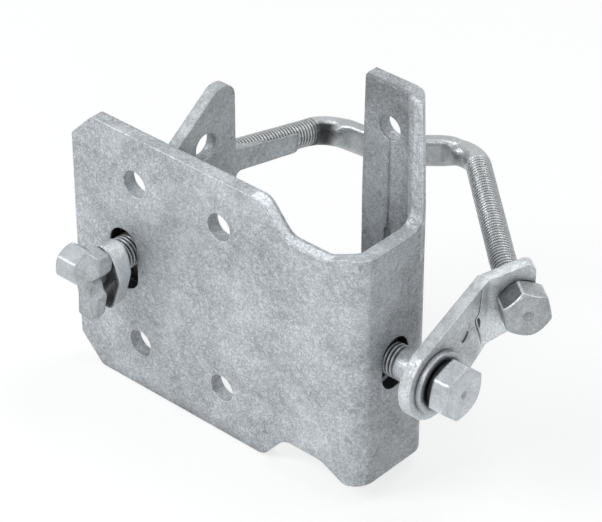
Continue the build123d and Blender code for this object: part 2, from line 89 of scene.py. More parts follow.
# Bow: start beside the ear, left bend, dent, right bend, knee, and the face of its closed nut
ROD_X = -16.8
BOW_Z = 23.2
BOW_START = (ROD_X, 43.5, 42.7)
BOW_LEFT = (ROD_X, 122.6, BOW_Z)
BOW_DENT = (18.3, 125.9, BOW_Z)
BOW_RIGHT = (50.1, 153.2, BOW_Z)
BOW_KNEE = (119.8, 87.7, BOW_Z)
BOW_BENDS = [15.0, 44.0, 16.0, 90.0]
ROD_PITCH = 2.1
ROD_THREAD_DEPTH = 0.95
CAP_FACE = (152.7, 63.3, 23.76)
CAP_FLATS = 21.0
CAP_TURN = -48
CAP_CHAMFER = 42
CAP_HEIGHT = 12.2
CAP_PROUD = 1.3
NOSE_DEPTH = 5.0

# Clamp stud, along Y, and its side stub, along X
STUD_X = -35.0
STUD_Z = 3.5
STUB_PLACE = (-50.8, -21.0, 3.0)
STUB_FLATS = 16.6
STUB_TURN = -9
COLLAR_BORE_RADIUS = 8.1
PLATE_BACK_Y = 7.0

# Ear plate, the beads beside it and the bead on its tongue
EAR_RIGHT_X = -4.5
EAR_LEFT_X = -10.5
EAR_BEAD_Z = 28.0
EAR_BEAD_LENGTH = 39.0
EAR_BEAD_LEG = 5.0
EAR_BEAD_RIPPLE = 1.7
TONGUE_Y = 44.5
TONGUE_TOP_Z = 52.0
TONGUE_SLOPE = 0.254
BOW_BEAD_START = 6.0
BOW_BEAD_LENGTH = 23.0
BOW_BEAD_LEG = 4.6
BOW_BEAD_RIPPLE = 1.8

# Outlines of the forged pieces, as X and Z from the stud's axis, front to back
COLLAR_FRONT = [
    (-3.3, 8.8), (3.9, 15.7), (10.2, 12.6), (13.6, 8.6), (15.0, 4.0), (16.8, 0.0),
    (14.4, -7.1), (11.4, -15.9), (9.7, -18.0), (2.0, -17.0), (-3.3, -11.5),
]
COLLAR_BACK = [
    (-3.3, 8.5), (3.7, 15.5), (9.5, 16.3), (12.3, 14.8), (14.9, 9.7), (16.1, 1.7),
    (13.1, -8.5), (11.3, -14.1), (7.3, -19.5), (1.5, -18.0), (-3.3, -11.5),
]
FINGER_FRONT = [
    (5.8, 18.0), (15.4, 17.3), (15.3, 14.6), (14.6, 9.3), (11.9, 5.3), (8.0, 2.1),
    (-3.1, 1.1), (-1.9, 6.7),
]
FINGER_BACK = [
    (5.5, 18.8), (15.0, 17.7), (16.9, 14.5), (15.8, 9.2), (12.6, 5.5), (9.4, 2.7),
    (-2.5, 1.1), (-1.5, 6.7),
]
LOBE_FRONT = [
    (6.0, 1.2), (8.0, -4.9), (8.1, -11.2), (8.4, -19.2), (5.0, -20.1), (-0.7, -18.9),
    (-0.3, -6.0), (-2.0, 1.2), (-1.8, 4.5), (4.5, 4.5),
]
LOBE_MIDDLE = [
    (8.4, 1.2), (7.8, -2.9), (11.2, -7.6), (9.2, -18.1), (5.0, -21.3), (-0.7, -19.3),
    (-0.5, -6.0), (-2.0, 1.2), (-1.8, 4.5), (4.5, 4.5),
]
LOBE_BACK = [
    (9.4, 1.2), (10.4, -3.1), (12.6, -6.1), (10.4, -16.7), (4.0, -25.0), (-0.7, -20.5),
    (-0.7, -6.0), (-2.0, 1.2), (-1.8, 4.5), (4.5, 4.5),
]


# Mesh work
def closed_skin(grid, ring):
    """Faces of a grid whose rows run along a piece and whose columns run round it.

    Each face joins four neighbouring points. A ring joins its last row to its first, and any other
    piece gets a fan of triangles from the middle of each end.
    """
    rows, columns, _ = grid.shape
    used = rows if ring else rows - 1
    row, column = np.meshgrid(np.arange(used), np.arange(columns), indexing="ij")
    beside = (column + 1) % columns
    above = (row + 1) % rows
    quads = np.stack(
        [
            row * columns + column,
            row * columns + beside,
            above * columns + beside,
            above * columns + column,
        ],
        axis=-1,
    ).reshape(-1, 4)
    points = grid.reshape(-1, 3)
    if ring:
        return points, quads, np.zeros((0, 3), dtype=int)
    count = rows * columns
    around = np.arange(columns)
    follow = (around + 1) % columns
    base = (rows - 1) * columns
    first = np.stack([np.full(columns, count), follow, around], axis=-1)
    last = np.stack([np.full(columns, count + 1), base + around, base + follow], axis=-1)
    points = np.vstack([points, grid[0].mean(axis=0), grid[-1].mean(axis=0)])
    return points, quads, np.vstack([first, last])


def outward(points, quads, fans):
    """Turns every face over where the volume, summed from the faces' corner products, is negative."""
    triangles = np.vstack([quads[:, [0, 1, 2]], quads[:, [0, 2, 3]], fans])
    a, b, c = points[triangles[:, 0]], points[triangles[:, 1]], points[triangles[:, 2]]
    volume = np.einsum("ij,ij->i", a, np.cross(b, c)).sum()
    if volume < 0:
        return quads[:, ::-1], fans[:, ::-1]
    return quads, fans


def place_piece(name, mesh, stands_for):
    """Puts a mesh into the scene, riding on the part's one body."""
    piece = bpy.data.objects.new(name, mesh)
    scene.collection.objects.link(piece)
    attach(piece, "root")
    if stands_for:
        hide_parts(*stands_for)


def make_piece(name, grid, material, stands_for=(), ring=False, painted_shading=None):
    """A smooth piece from a grid of points in millimetres.

    The painted shading is a number for each grid point: 0 on plain skin, 1 for painted shade at a
    thread's root or in a dark bend, gap or hollow, and -1 for a painted highlight on a worn rim.
    """
    points, quads, fans = closed_skin(grid, ring)
    quads, fans = outward(points, quads, fans)
    mesh = bpy.data.meshes.new(name)
    mesh.from_pydata((points * MM).tolist(), [], quads.tolist() + fans.tolist())
    mesh.polygons.foreach_set("use_smooth", np.ones(len(mesh.polygons), dtype=bool))
    depth = np.zeros(len(points))
    if painted_shading is not None:
        depth[: painted_shading.size] = painted_shading.ravel()
    layer = mesh.attributes.new("painted_shading", "FLOAT", "POINT")
    layer.data.foreach_set("value", depth.astype(np.float32))
    mesh.materials.append(material)
    mesh.update()
    place_piece(name, mesh, stands_for)


# Shapes shared by the pieces
def unit(vector):
    """A vector of length one along the given one."""
    vector = np.array(vector, dtype=float)
    return vector / np.linalg.norm(vector)


def circle(count):
    """Even angles of a full turn, without the last one that equals the first."""
    return np.linspace(0, TURN, count, endpoint=False)


def averaged(values, reach, mode):
    """Each value averaged with its neighbours up to reach places away on both sides."""
    padded = np.pad(values, reach, mode=mode)
    return np.convolve(padded, np.ones(2 * reach + 1) / (2 * reach + 1), mode="valid")


def read_along(wanted, places, points):
    """Points read between the given ones, one coordinate after another."""
    return np.stack([np.interp(wanted, places, column) for column in points.T], axis=-1)


def rounded_path(corners, radii, step=0.22):
    """Points at even steps along straight runs joined by arcs.

    An arc leaves each run at radius over the tangent of half the corner's angle, and turns about
    the point that lies radius over the sine of that half angle from the corner.
    """
    corners = np.array(corners, dtype=float)
    parts = [corners[:1]]
    for place, radius in enumerate(radii, start=1):
        corner = corners[place]
        back = unit(corners[place - 1] - corner)
        ahead = unit(corners[place + 1] - corner)
        half = math.acos(float(np.clip(back @ ahead, -1, 1))) / 2
        centre = corner + unit(back + ahead) * radius / math.sin(half)
        leave = corner + back * radius / math.tan(half)
        spoke = (leave - centre) / radius
        angle = np.linspace(0, math.pi - 2 * half, 60)[:, None]
        parts.append(centre + radius * (np.cos(angle) * spoke - np.sin(angle) * back))
    parts.append(corners[-1:])
    rough = np.vstack(parts)
    along = np.concatenate([[0], np.cumsum(np.linalg.norm(np.diff(rough, axis=0), axis=1))])
    even = np.linspace(0, along[-1], int(along[-1] / step) + 1)
    return even, read_along(even, along, rough)


def band(along, centre, half_width):
    """1 in a band along a run and 0 away from it.

    It is e to the power of minus the fourth power of the distance, taken in half widths.
    """
    return np.exp(-(((along - centre) / half_width) ** 4))


def thread_wave(along, angle, pitch):
    """0 on a thread's flat crest and 1 at its flat root.

    The place along the rod less the share of a turn, in pitches, gives a saw that is folded to a
    triangle, stretched and cut off flat at both ends.
    """
    stretch = 1.5
    cut = 0.22
    turns = along[:, None] / pitch - angle[None, :] / TURN
    triangle = np.abs(2 * (turns - np.floor(turns)) - 1)
    return np.clip(stretch * triangle - cut, 0, 1)


def carried_section(path, wide, tall, square, angle):
    """A flattened round section carried along a path that stays near level.

    Across the path a point lies at wide times the cosine and tall times the sine of its angle,
    each raised to two over the section's squareness: 2 is round, and 4 or more is a soft rectangle.
    """
    along = np.gradient(path, axis=0)
    along /= np.linalg.norm(along, axis=1)[:, None]
    side = np.cross(along, np.array(UP, dtype=float))
    side /= np.linalg.norm(side, axis=1)[:, None]
    rise = np.cross(side, along)
    power = (2 / square)[:, None]
    cosine = np.cos(angle)[None, :]
    sine = np.sin(angle)[None, :]
    across = wide[:, None] * np.sign(cosine) * np.abs(cosine) ** power
    upright = tall[:, None] * np.sign(sine) * np.abs(sine) ** power
    return across, upright, side, rise


def hexagon_reach(angle, flats, turn, sharpness=46.0):
    """Distance from a hexagon's axis to its side at each angle. turn is in degrees.

    It is half the width across flats over the largest of the six cosines to the flats, taken as a
    high power mean so that the corners are a little round.
    """
    flats_at = math.radians(turn) + np.arange(6) * TURN / 6 + TURN / 12
    cosines = np.maximum(np.cos(angle[:, None] - flats_at[None, :]), 0)
    return flats / 2 / (cosines**sharpness).sum(axis=1) ** (1 / sharpness)


def hex_turning(radius, height, reach, sharpness=50.0):
    """A turned profile cut to a hexagon: the smaller of the turned radius and the hexagon's reach.

    The smaller one is taken as a high negative power mean, which rounds the edge between them. Well
    inside the hexagon the turned radius stays as it is.
    """
    turned = np.maximum(radius, 1e-3)[:, None]
    side = reach[None, :]
    smaller = (turned**-sharpness + side**-sharpness) ** (-1 / sharpness)
    inside = turned < 0.8 * side.min()
    return np.where(inside, turned, smaller), np.repeat(height[:, None], reach.size, 1)


def hex_rims(radius, reach):
    """-1 along a hexagon's corners and along the line where its flats meet the turned end.

    A corner is where the reach is close to its largest. The meeting line is where the turned radius
    and the reach are close to each other. Elsewhere it is 0. The -1 marks a painted highlight on
    these worn rims.
    """
    corner_near = 0.3
    corner_fade = 0.2
    meeting_fade = 0.3
    meeting_gain = 1.4
    turned = radius[:, None]
    side = reach[None, :]
    corner = np.clip((side - reach.max() + corner_near) / corner_fade, 0, 1) * (turned > side)
    meeting = np.clip(meeting_gain - np.abs(turned - side) / meeting_fade, 0, 1)
    return -np.maximum(corner, meeting)


def dense(profile, counts):
    """A profile of (radius, height) corners with a given number of steps on each run."""
    profile = np.array(profile, dtype=float)
    places = [
        place + np.linspace(0, 1, count, endpoint=False) for place, count in enumerate(counts)
    ]
    wanted = np.concatenate(places + [[len(counts)]])
    read = read_along(wanted, np.arange(len(profile)), profile)
    return read[:, 0], read[:, 1]


def turned_hexagon(profile, counts, flats, turn, columns):
    """A dense turned profile cut to a hexagon: its angles, radii, heights and worn rims."""
    radius, height = dense(profile, counts)
    angle = circle(columns)
    reach = hexagon_reach(angle, flats, turn)
    rims = hex_rims(radius, reach)
    radius, height = hex_turning(radius, height, reach)
    return angle, radius, height, rims


def chamfered(flats, slope):
    """A hexagon's turned outer radius, its face's radius, and the drop of the chamfer between them."""
    outer = flats / math.sqrt(3) + CORNER_SPARE
    face = flats / 2 * FACE_SHARE
    return outer, face, (outer - face) * math.tan(math.radians(slope))


def on_axis(radius, height, angle, origin, axis):
    """Points at a radius and an angle from upright round a level axis, and at a height along it."""
    axis = unit(axis)
    up = np.array(UP, dtype=float)
    side = np.cross(axis, up)
    round_about = np.cos(angle)[None, :, None] * up + np.sin(angle)[None, :, None] * side
    return np.array(origin) + radius[..., None] * round_about + height[..., None] * axis


# Patterns of the zinc, as noise scales in cycles per metre, and the range that a noise mostly keeps to
CLOUD_SCALE = 42.0
DRIFT_SCALE = 150.0
SPECK_SCALE = 340.0
GRAIN_SCALE = 2600.0
NOISE_LOW = 0.3
NOISE_HIGH = 0.7
NODE_SAMPLES = 6

# Two families of scratches: how a noise is squeezed and turned, and from where to where it is a line
SCRATCHES = [
    ((1300, 1300, 70), (0.5, 0.35, 0.2), 0.64, 0.74),
    ((1100, 80, 1100), (0.9, 0.2, 0.7), 0.66, 0.76),
]

# Cosines between the rounded and the true normal: just beside an edge, where shade is painted, and on
# the edge, where a highlight is painted
BESIDE_EDGE = (0.9996, 0.965)
ON_EDGE = (0.95, 0.87)

# Shares of the skin's relief
RIDGE_RISE = 0.6
GRAIN_RISE = 0.25
DRIFT_RISE = 1.2
SCRATCH_FALL = 0.7


# Materials
class Recipe:
    """Short calls to add and join a material's nodes."""

    def __init__(self, name):
        self.material = bpy.data.materials.new(name)
        self.material.use_nodes = True
        self.tree = self.material.node_tree
        self.tree.nodes.clear()

    def node(self, kind, **settings):
        """A new node with its settings."""
        made = self.tree.nodes.new(kind)
        for key, value in settings.items():
            setattr(made, key, value)
        return made

    def join(self, value, socket):
        """A number set on a socket, or another socket linked to it."""
        if isinstance(value, (int, float)):
            socket.default_value = value
        else:
            self.tree.links.new(value, socket)

    def math(self, operation, first, second=0.0, clamp=False):
        """One sum, product or the like of two values."""
        made = self.node("ShaderNodeMath", operation=operation, use_clamp=clamp)
        self.join(first, made.inputs[0])
        self.join(second, made.inputs[1])
        return made.outputs[0]

    def spread(self, value, low, high, to_low, to_high):
        """A value moved from one range to another and held to its ends."""
        made = self.node("ShaderNodeMapRange")
        self.join(value, made.inputs["Value"])
        made.inputs["From Min"].default_value = low
        made.inputs["From Max"].default_value = high
        made.inputs["To Min"].default_value = to_low
        made.inputs["To Max"].default_value = to_high
        return made.outputs["Result"]

    def place(self, scale=(1, 1, 1), turn=(0, 0, 0)):
        """The piece's own coordinates in metres, scaled and turned."""
        coordinates = self.node("ShaderNodeTexCoord")
        mapping = self.node("ShaderNodeMapping")
        mapping.inputs["Scale"].default_value = scale
        mapping.inputs["Rotation"].default_value = turn
        self.tree.links.new(coordinates.outputs["Object"], mapping.inputs["Vector"])
        return mapping.outputs["Vector"]

    def noise(self, where, scale, detail, rough, bend):
        """A cloud of values round one half."""
        made = self.node("ShaderNodeTexNoise")
        self.tree.links.new(where, made.inputs["Vector"])
        made.inputs["Scale"].default_value = scale
        made.inputs["Detail"].default_value = detail
        made.inputs["Roughness"].default_value = rough
        made.inputs["Distortion"].default_value = bend
        return made.outputs["Fac"]

    def scratches(self):
        """1 on thin scratches and 0 between them."""
        lines = 0.0
        for stretch, turn, low, high in SCRATCHES:
            family = self.noise(self.place(stretch, turn), 1.0, 2.0, 0.5, 0.3)
            lines = self.math("ADD", lines, self.spread(family, low, high, 0.0, 1.0), clamp=True)
        return lines

    def edge_wear_and_painted_light(self, radius, light, dark):
        """The normal rounded over edges, and a level: a painted highlight over the wear on an edge, and
        painted shade just beside it.
        """
        bevel = self.node("ShaderNodeBevel", samples=NODE_SAMPLES)
        bevel.inputs["Radius"].default_value = radius * MM
        solid = self.node("ShaderNodeNewGeometry")
        facing = self.node("ShaderNodeVectorMath", operation="DOT_PRODUCT")
        self.join(bevel.outputs["Normal"], facing.inputs[0])
        self.join(solid.outputs["True Normal"], facing.inputs[1])
        beside = self.spread(facing.outputs["Value"], *BESIDE_EDGE, 0.0, dark)
        wear_and_highlight = self.spread(facing.outputs["Value"], *ON_EDGE, 0.0, light + dark)
        return bevel.outputs["Normal"], self.math("SUBTRACT", self.math("ADD", 1.0, wear_and_highlight), beside)

    def painted_hollow_shade(self, reach, shade):
        """Painted shade: 1 in the open, and less by up to shade where other surfaces stand within
        reach.
        """
        hollow = self.node("ShaderNodeAmbientOcclusion", samples=NODE_SAMPLES)
        hollow.inputs["Distance"].default_value = reach * MM
        return self.spread(hollow.outputs["AO"], 0.25, 0.95, 1.0 - shade, 1.0)

    def painted_shade_and_highlight(self, painted_shading, rim_light):
        """Less than 1, for painted shade, where the piece's painted shading is above 0, and more, for a
        painted highlight, where it is below 0.
        """
        depth = self.node("ShaderNodeAttribute", attribute_name="painted_shading")
        root = self.spread(depth.outputs["Fac"], 0.15, 0.95, 0.0, painted_shading)
        rim = self.spread(depth.outputs["Fac"], -1.0, -0.1, rim_light, 0.0)
        return self.math("MULTIPLY", self.math("SUBTRACT", 1.0, root), self.math("ADD", 1.0, rim))

    def pocket(self, lowest, highest, soft, level):
        """1 outside a box in millimetres and a given level inside it, easing over a soft width."""
        coordinates = self.node("ShaderNodeTexCoord")
        parts = self.node("ShaderNodeSeparateXYZ")
        self.tree.links.new(coordinates.outputs["Object"], parts.inputs[0])
        inside = 1.0
        for axis in range(3):
            low_edge = lowest[axis] * MM
            high_edge = highest[axis] * MM
            rise = self.spread(parts.outputs[axis], low_edge - soft * MM, low_edge, 0.0, 1.0)
            fall = self.spread(parts.outputs[axis], high_edge, high_edge + soft * MM, 1.0, 0.0)
            inside = self.math("MULTIPLY", inside, self.math("MULTIPLY", rise, fall))
        return self.spread(inside, 0.0, 1.0, 1.0, level)


def zinc(
    name,
    colour,
    metal=0.35,
    rough=0.5,
    cloud=0.16,
    crinkle=0.16,
    crinkle_size=1.6,
    relief=0.05,
    scratch=0.2,
    edge_radius=1.4,
    edge_light=0.6,
    edge_dark=0.45,
    shade=0.6,
    shade_reach=9.0,
    painted_shading=0.0,
    rim_light=0.7,
    pockets=(),
):
    """Hot-dip zinc: clouds of grey, a fine wormy skin, thin scratches, worn edges with a painted
    highlight, and painted shade beside edges and in hollows.

    Sizes are in millimetres. cloud, crinkle and scratch are shares by which the colour changes,
    relief is the height of the skin, the painted shading setting darkens thread roots and dark gaps
    with painted shade, rim_light is a painted highlight on worn rims, and pockets are boxes of
    painted shade or painted light.
    """
    recipe = Recipe(name)
    where = recipe.place()
    clouds = recipe.noise(where, CLOUD_SCALE, 4.0, 0.6, 0.7)
    drifts = recipe.noise(where, DRIFT_SCALE, 3.0, 0.55, 2.2)
    worms = recipe.noise(where, 1.0 / (crinkle_size * MM), 3.0, 0.6, 1.4)
    grain = recipe.noise(where, GRAIN_SCALE, 2.0, 0.6, 0.0)
    specks = recipe.spread(recipe.noise(where, SPECK_SCALE, 1.0, 0.5, 0.0), 0.74, 0.8, 0.0, 1.0)
    lines = recipe.scratches()
    ridges = recipe.math("ABSOLUTE", recipe.math("SUBTRACT", worms, 0.5))
    ridges = recipe.spread(ridges, 0.0, 0.075, 0.0, 1.0)

    # Colour
    level = 1.0
    for change in (
        recipe.spread(clouds, NOISE_LOW, NOISE_HIGH, -cloud, cloud),
        recipe.spread(drifts, NOISE_LOW, NOISE_HIGH, -cloud / 2, cloud / 2),
        recipe.spread(ridges, 0.0, 1.0, -crinkle / 2, crinkle / 2),
        recipe.math("MULTIPLY", lines, scratch),
        recipe.math("MULTIPLY", specks, -0.3),
    ):
        level = recipe.math("ADD", level, change)
    # The levels below paint light and shade into the colour: a highlight on worn edges, shade beside
    # them and in hollows, shade in thread roots and dark gaps, and the pockets' boxes
    rounded, edges = recipe.edge_wear_and_painted_light(edge_radius, edge_light, edge_dark)
    factors = [edges, recipe.painted_hollow_shade(shade_reach, shade)]
    if painted_shading > 0:
        factors.append(recipe.painted_shade_and_highlight(painted_shading, rim_light))
    factors += [recipe.pocket(*pocket) for pocket in pockets]
    for factor in factors:
        level = recipe.math("MULTIPLY", level, factor)
    tint = recipe.node("ShaderNodeVectorMath", operation="SCALE")
    tint.inputs[0].default_value = colour
    recipe.join(level, tint.inputs["Scale"])

    # Relief
    height = recipe.math("MULTIPLY", ridges, RIDGE_RISE)
    height = recipe.math("ADD", height, recipe.math("MULTIPLY", grain, GRAIN_RISE))
    height = recipe.math("ADD", height, recipe.math("MULTIPLY", drifts, DRIFT_RISE))
    height = recipe.math("SUBTRACT", height, recipe.math("MULTIPLY", lines, SCRATCH_FALL))
    bump = recipe.node("ShaderNodeBump")
    bump.inputs["Strength"].default_value = 1.0
    bump.inputs["Distance"].default_value = relief * MM
    recipe.join(height, bump.inputs["Height"])
    recipe.join(rounded, bump.inputs["Normal"])

    # Gloss
    gloss = recipe.math("ADD", rough, recipe.spread(clouds, NOISE_LOW, NOISE_HIGH, -0.07, 0.07))
    gloss = recipe.math("ADD", gloss, recipe.spread(ridges, 0, 1, 0.05, -0.05))
    shader = recipe.node("ShaderNodeBsdfPrincipled")
    output = recipe.node("ShaderNodeOutputMaterial")
    shader.inputs["Metallic"].default_value = metal
    recipe.join(tint.outputs["Vector"], shader.inputs["Base Color"])
    recipe.join(gloss, shader.inputs["Roughness"])
    recipe.join(bump.outputs["Normal"], shader.inputs["Normal"])
    recipe.join(shader.outputs["BSDF"], output.inputs["Surface"])
    return recipe.material


# Each box below is painted shade where its level is under 1 and painted light where it is over 1: its
# lowest corner, its highest corner, its soft width and its level
# Painted shade on the walls of the plate's slot
PLATE_SLOT_SHADE = ((-44.2, 0.7, -17.0), (-25.8, 6.4, 17.0), 0.3, 0.1)
# Painted shade on the walls of the flange's slot
FLANGE_SLOT_SHADE = ((103.8, 15.0, -16.0), (109.6, 33.5, 12.0), 0.3, 0.1)
# Painted shade on the strip's front face, inside the channel
STRIP_FRONT_SHADE = ((72.0, 42.3, -62.0), (100.0, 43.6, 130.0), 0.4, 0.7)
# More painted shade on the strip's upper end
STRIP_HEAD_SHADE = ((72.0, 42.3, 112.0), (100.0, 43.6, 130.0), 16.0, 0.78)
# Painted highlight on the neck's edge
NECK_EDGE_LIGHT = ((46.0, 0.9, 53.0), (92.0, 5.1, 80.0), 0.4, 1.62)
# Painted light on the strip's cut edge
STRIP_EDGE_LIGHT = ((104.0, 40.0, 44.0), (110.6, 41.8, 128.0), 0.5, 1.3)
# Painted shade on the flange's foot
FLANGE_FOOT_SHADE = ((106.0, 14.0, -75.0), (112.0, 60.0, -34.0), 14.0, 0.86)
# Painted shade on the flange's outer face
FLANGE_FACE_SHADE = ((109.9, -5.0, -76.0), (111.0, 60.0, 130.0), 0.6, 0.84)
# Painted light on the link's upper face
LINK_UPPER_LIGHT = ((134.8, 56.0, -10.0), (160.0, 110.0, 62.0), 4.0, 1.42)
# Painted shade on the collar's front face, toward the jaw
COLLAR_MOUTH_SHADE = ((-60.0, -20.2, -30.0), (0.0, -19.3, 30.0), 0.15, 0.25)

SHEET_ZINC = zinc(
    "sheet_zinc",
    (0.485, 0.512, 0.538),
    cloud=0.24,
    crinkle=0.5,
    crinkle_size=2.3,
    relief=0.18,
    edge_light=0.7,
    pockets=[
        PLATE_SLOT_SHADE,
        FLANGE_SLOT_SHADE,
        STRIP_FRONT_SHADE,
        STRIP_HEAD_SHADE,
        NECK_EDGE_LIGHT,
        STRIP_EDGE_LIGHT,
        FLANGE_FOOT_SHADE,
        FLANGE_FACE_SHADE,
    ],
)
EAR_ZINC = zinc(
    "ear_zinc",
    (0.40, 0.427, 0.44),
    cloud=0.26,
    crinkle=0.4,
    crinkle_size=2.4,
    relief=0.12,
)
LINK_ZINC = zinc(
    "link_zinc",
    (0.6, 0.63, 0.65),
    metal=0.45,
    rough=0.4,
    cloud=0.26,
    crinkle=0.3,
    relief=0.14,
    shade=0.55,
    painted_shading=0.93,
    pockets=[LINK_UPPER_LIGHT],
)
ROD_ZINC = zinc(
    "rod_zinc",
    (0.46, 0.48, 0.49),
    metal=0.7,
    rough=0.24,
    cloud=0.14,
    crinkle=0.12,
    crinkle_size=2.2,
    scratch=0.15,
    edge_dark=0.0,
    painted_shading=0.93,
)
FASTENER_ZINC = zinc(
    "fastener_zinc",
    (0.54, 0.57, 0.60),
    metal=0.6,
    rough=0.3,
    cloud=0.2,
    crinkle=0.3,
    edge_radius=0.9,
    edge_dark=0.5,
    painted_shading=0.93,
    rim_light=0.3,
)
CAP_ZINC = zinc(
    "cap_zinc",
    (0.38, 0.40, 0.41),
    metal=0.6,
    rough=0.32,
    cloud=0.26,
    crinkle=0.34,
    crinkle_size=2.0,
    edge_radius=0.9,
    edge_light=1.3,
    painted_shading=0.93,
)
FORGED_ZINC = zinc(
    "forged_zinc",
    (0.425, 0.452, 0.47),
    metal=0.45,
    rough=0.42,
    cloud=0.24,
    crinkle=0.36,
    crinkle_size=2.0,
    edge_light=0.8,
)
STUB_ZINC = zinc(
    "stub_zinc",
    (0.50, 0.53, 0.55),
    metal=0.4,
    rough=0.4,
    crinkle_size=2.0,
    painted_shading=0.9,
    rim_light=0.6,
)
COLLAR_ZINC = zinc(
    "collar_zinc",
    (0.7, 0.73, 0.75),
    metal=0.75,
    rough=0.26,
    cloud=0.12,
    crinkle=0.1,
    crinkle_size=2.6,
    edge_light=0.9,
    pockets=[COLLAR_MOUTH_SHADE],
)
WELD_ZINC = zinc("weld_zinc", (0.44, 0.46, 0.47), metal=0.5, rough=0.36, cloud=0.2, relief=0.08)

finishes = {
    "bracket_body": SHEET_ZINC,
    "ear_plate": EAR_ZINC,
    "link_plate": LINK_ZINC,
    "clamp_stud": FORGED_ZINC,
    "clamp_collar": FORGED_ZINC,
    "bow": ROD_ZINC,
    "ear_weld_right": WELD_ZINC,
    "ear_weld_left": WELD_ZINC,
    "bow_weld": WELD_ZINC,
}
for name, node in nodes.items():
    node.data.materials.clear()
    node.data.materials.append(finishes.get(name, FASTENER_ZINC))


# Bow
BOW_END_AXIS = unit((CAP_FACE[0] - BOW_KNEE[0], CAP_FACE[1] - BOW_KNEE[1], 0.0))


def make_bow_rod():
    """The bent rod: threaded round legs and a flattened, dented middle, with painted shade and dark
    reflection inside its bends.
    """
    nose = np.array(CAP_FACE) - BOW_END_AXIS * NOSE_DEPTH
    corners = [BOW_START, BOW_LEFT, BOW_DENT, BOW_RIGHT, BOW_KNEE, tuple(nose)]
    along, path = rounded_path(corners, BOW_BENDS)
    left, right = (
        along[np.argmin(np.linalg.norm(path - np.array(corner), axis=1))]
        for corner in (BOW_LEFT, BOW_RIGHT)
    )

    # Each row is a stop along the rod, then its half width, half height and squareness there
    stops = np.array(
        [
            (0.0, 5.3, 5.3, 2.0),
            (1.2, 6.45, 6.45, 2.0),
            (left - 16, 6.5, 6.6, 2.0),
            (left - 8, 5.9, 7.0, 2.2),
            (left + 6, 5.6, 7.2, 2.5),
            (left + 13, 3.6, 7.6, 4.5),
            (right - 13, 3.6, 7.6, 4.5),
            (right - 5, 6.2, 6.5, 2.0),
            (along[-1], 6.3, 6.3, 2.0),
        ]
    )
    wide, tall, square = (
        averaged(np.interp(along, stops[:, 0], column), 5, "edge") for column in stops.T[1:]
    )
    angle = circle(64)
    across, upright, side, rise = carried_section(path, wide, tall, square, angle)

    # The threads fade out at both bends
    left_thread = np.clip((left - 9.5 - along) / 2.0, 0, 1)
    right_thread = np.clip((along - right - 10.0) / 3.0, 0, 1)
    wave = thread_wave(along, angle, ROD_PITCH) * np.maximum(left_thread, right_thread)[:, None]
    shrink = 1 - ROD_THREAD_DEPTH * wave / np.maximum(np.hypot(across, upright), 1)

    # The painted shade and dark reflection lie on the inner side of the bends and leave their top free
    bends = np.clip(band(along, left - 6.0, 9.5) + 0.55 * band(along, right + 1.0, 9.0), 0, 1)
    off_top = np.clip(4.4 - 4.4 * np.sin(angle), 0, 1)
    inner = np.clip(0.7 + 1.4 * np.cos(angle), 0, 1)
    painted_shade = 0.95 * bends[:, None] * (off_top * inner)[None, :]

    grid = path[:, None, :]
    grid = grid + (across * shrink)[..., None] * side[:, None, :]
    grid = grid + (upright * shrink)[..., None] * rise[:, None, :]
    # The thread roots get painted shade too
    make_piece("bow_rod", grid, ROD_ZINC, ["bow"], painted_shading=np.maximum(wave, painted_shade))


def make_cap_hexagon():
    """The bow's closed nut: a round base, a hexagon and a turned face with a punched middle."""
    base = np.array(CAP_FACE) - BOW_END_AXIS * CAP_HEIGHT
    tall = CAP_HEIGHT + CAP_PROUD
    half = CAP_FLATS / 2
    outer, face, drop = chamfered(CAP_FLATS, CAP_CHAMFER)
    profile = [
        (0.4, 0.0),
        (10.0, 0.0),
        (10.4, 0.4),
        (10.4, 1.2),
        (half * 0.98, 1.2),
        (outer, 2.6),
        (outer, tall - drop),
        (face, tall),
        (half * 0.93, tall - 0.05),
        (half * 0.90, tall - 0.12),
        (2.2, tall - 0.05),
        (1.2, tall - 0.7),
        (0.2, tall - 1.0),
    ]
    counts = [4, 2, 2, 3, 6, 14, 14, 4, 3, 12, 6, 3]
    angle, radius, height, rims = turned_hexagon(profile, counts, CAP_FLATS, CAP_TURN, 180)

    # The base gets painted shade, and so do the two flats on the nut's left, as the camera sees it; the
    # rims above the base get a painted highlight
    base_top = 1.3
    painted_shade_side = (angle > math.radians(15)) & (angle < math.radians(129))
    flats = (height < tall - 1.2) & painted_shade_side[None, :]
    shaded = np.where(height < base_top, 1.0, np.where(flats, 0.7, 0.0))
    shaded = np.where((rims < -0.3) & (height > 1.5), rims, shaded)
    grid = on_axis(radius, height, angle, base, BOW_END_AXIS)
    make_piece("cap_hexagon", grid, CAP_ZINC, ["bow_cap_nut"], painted_shading=shaded)


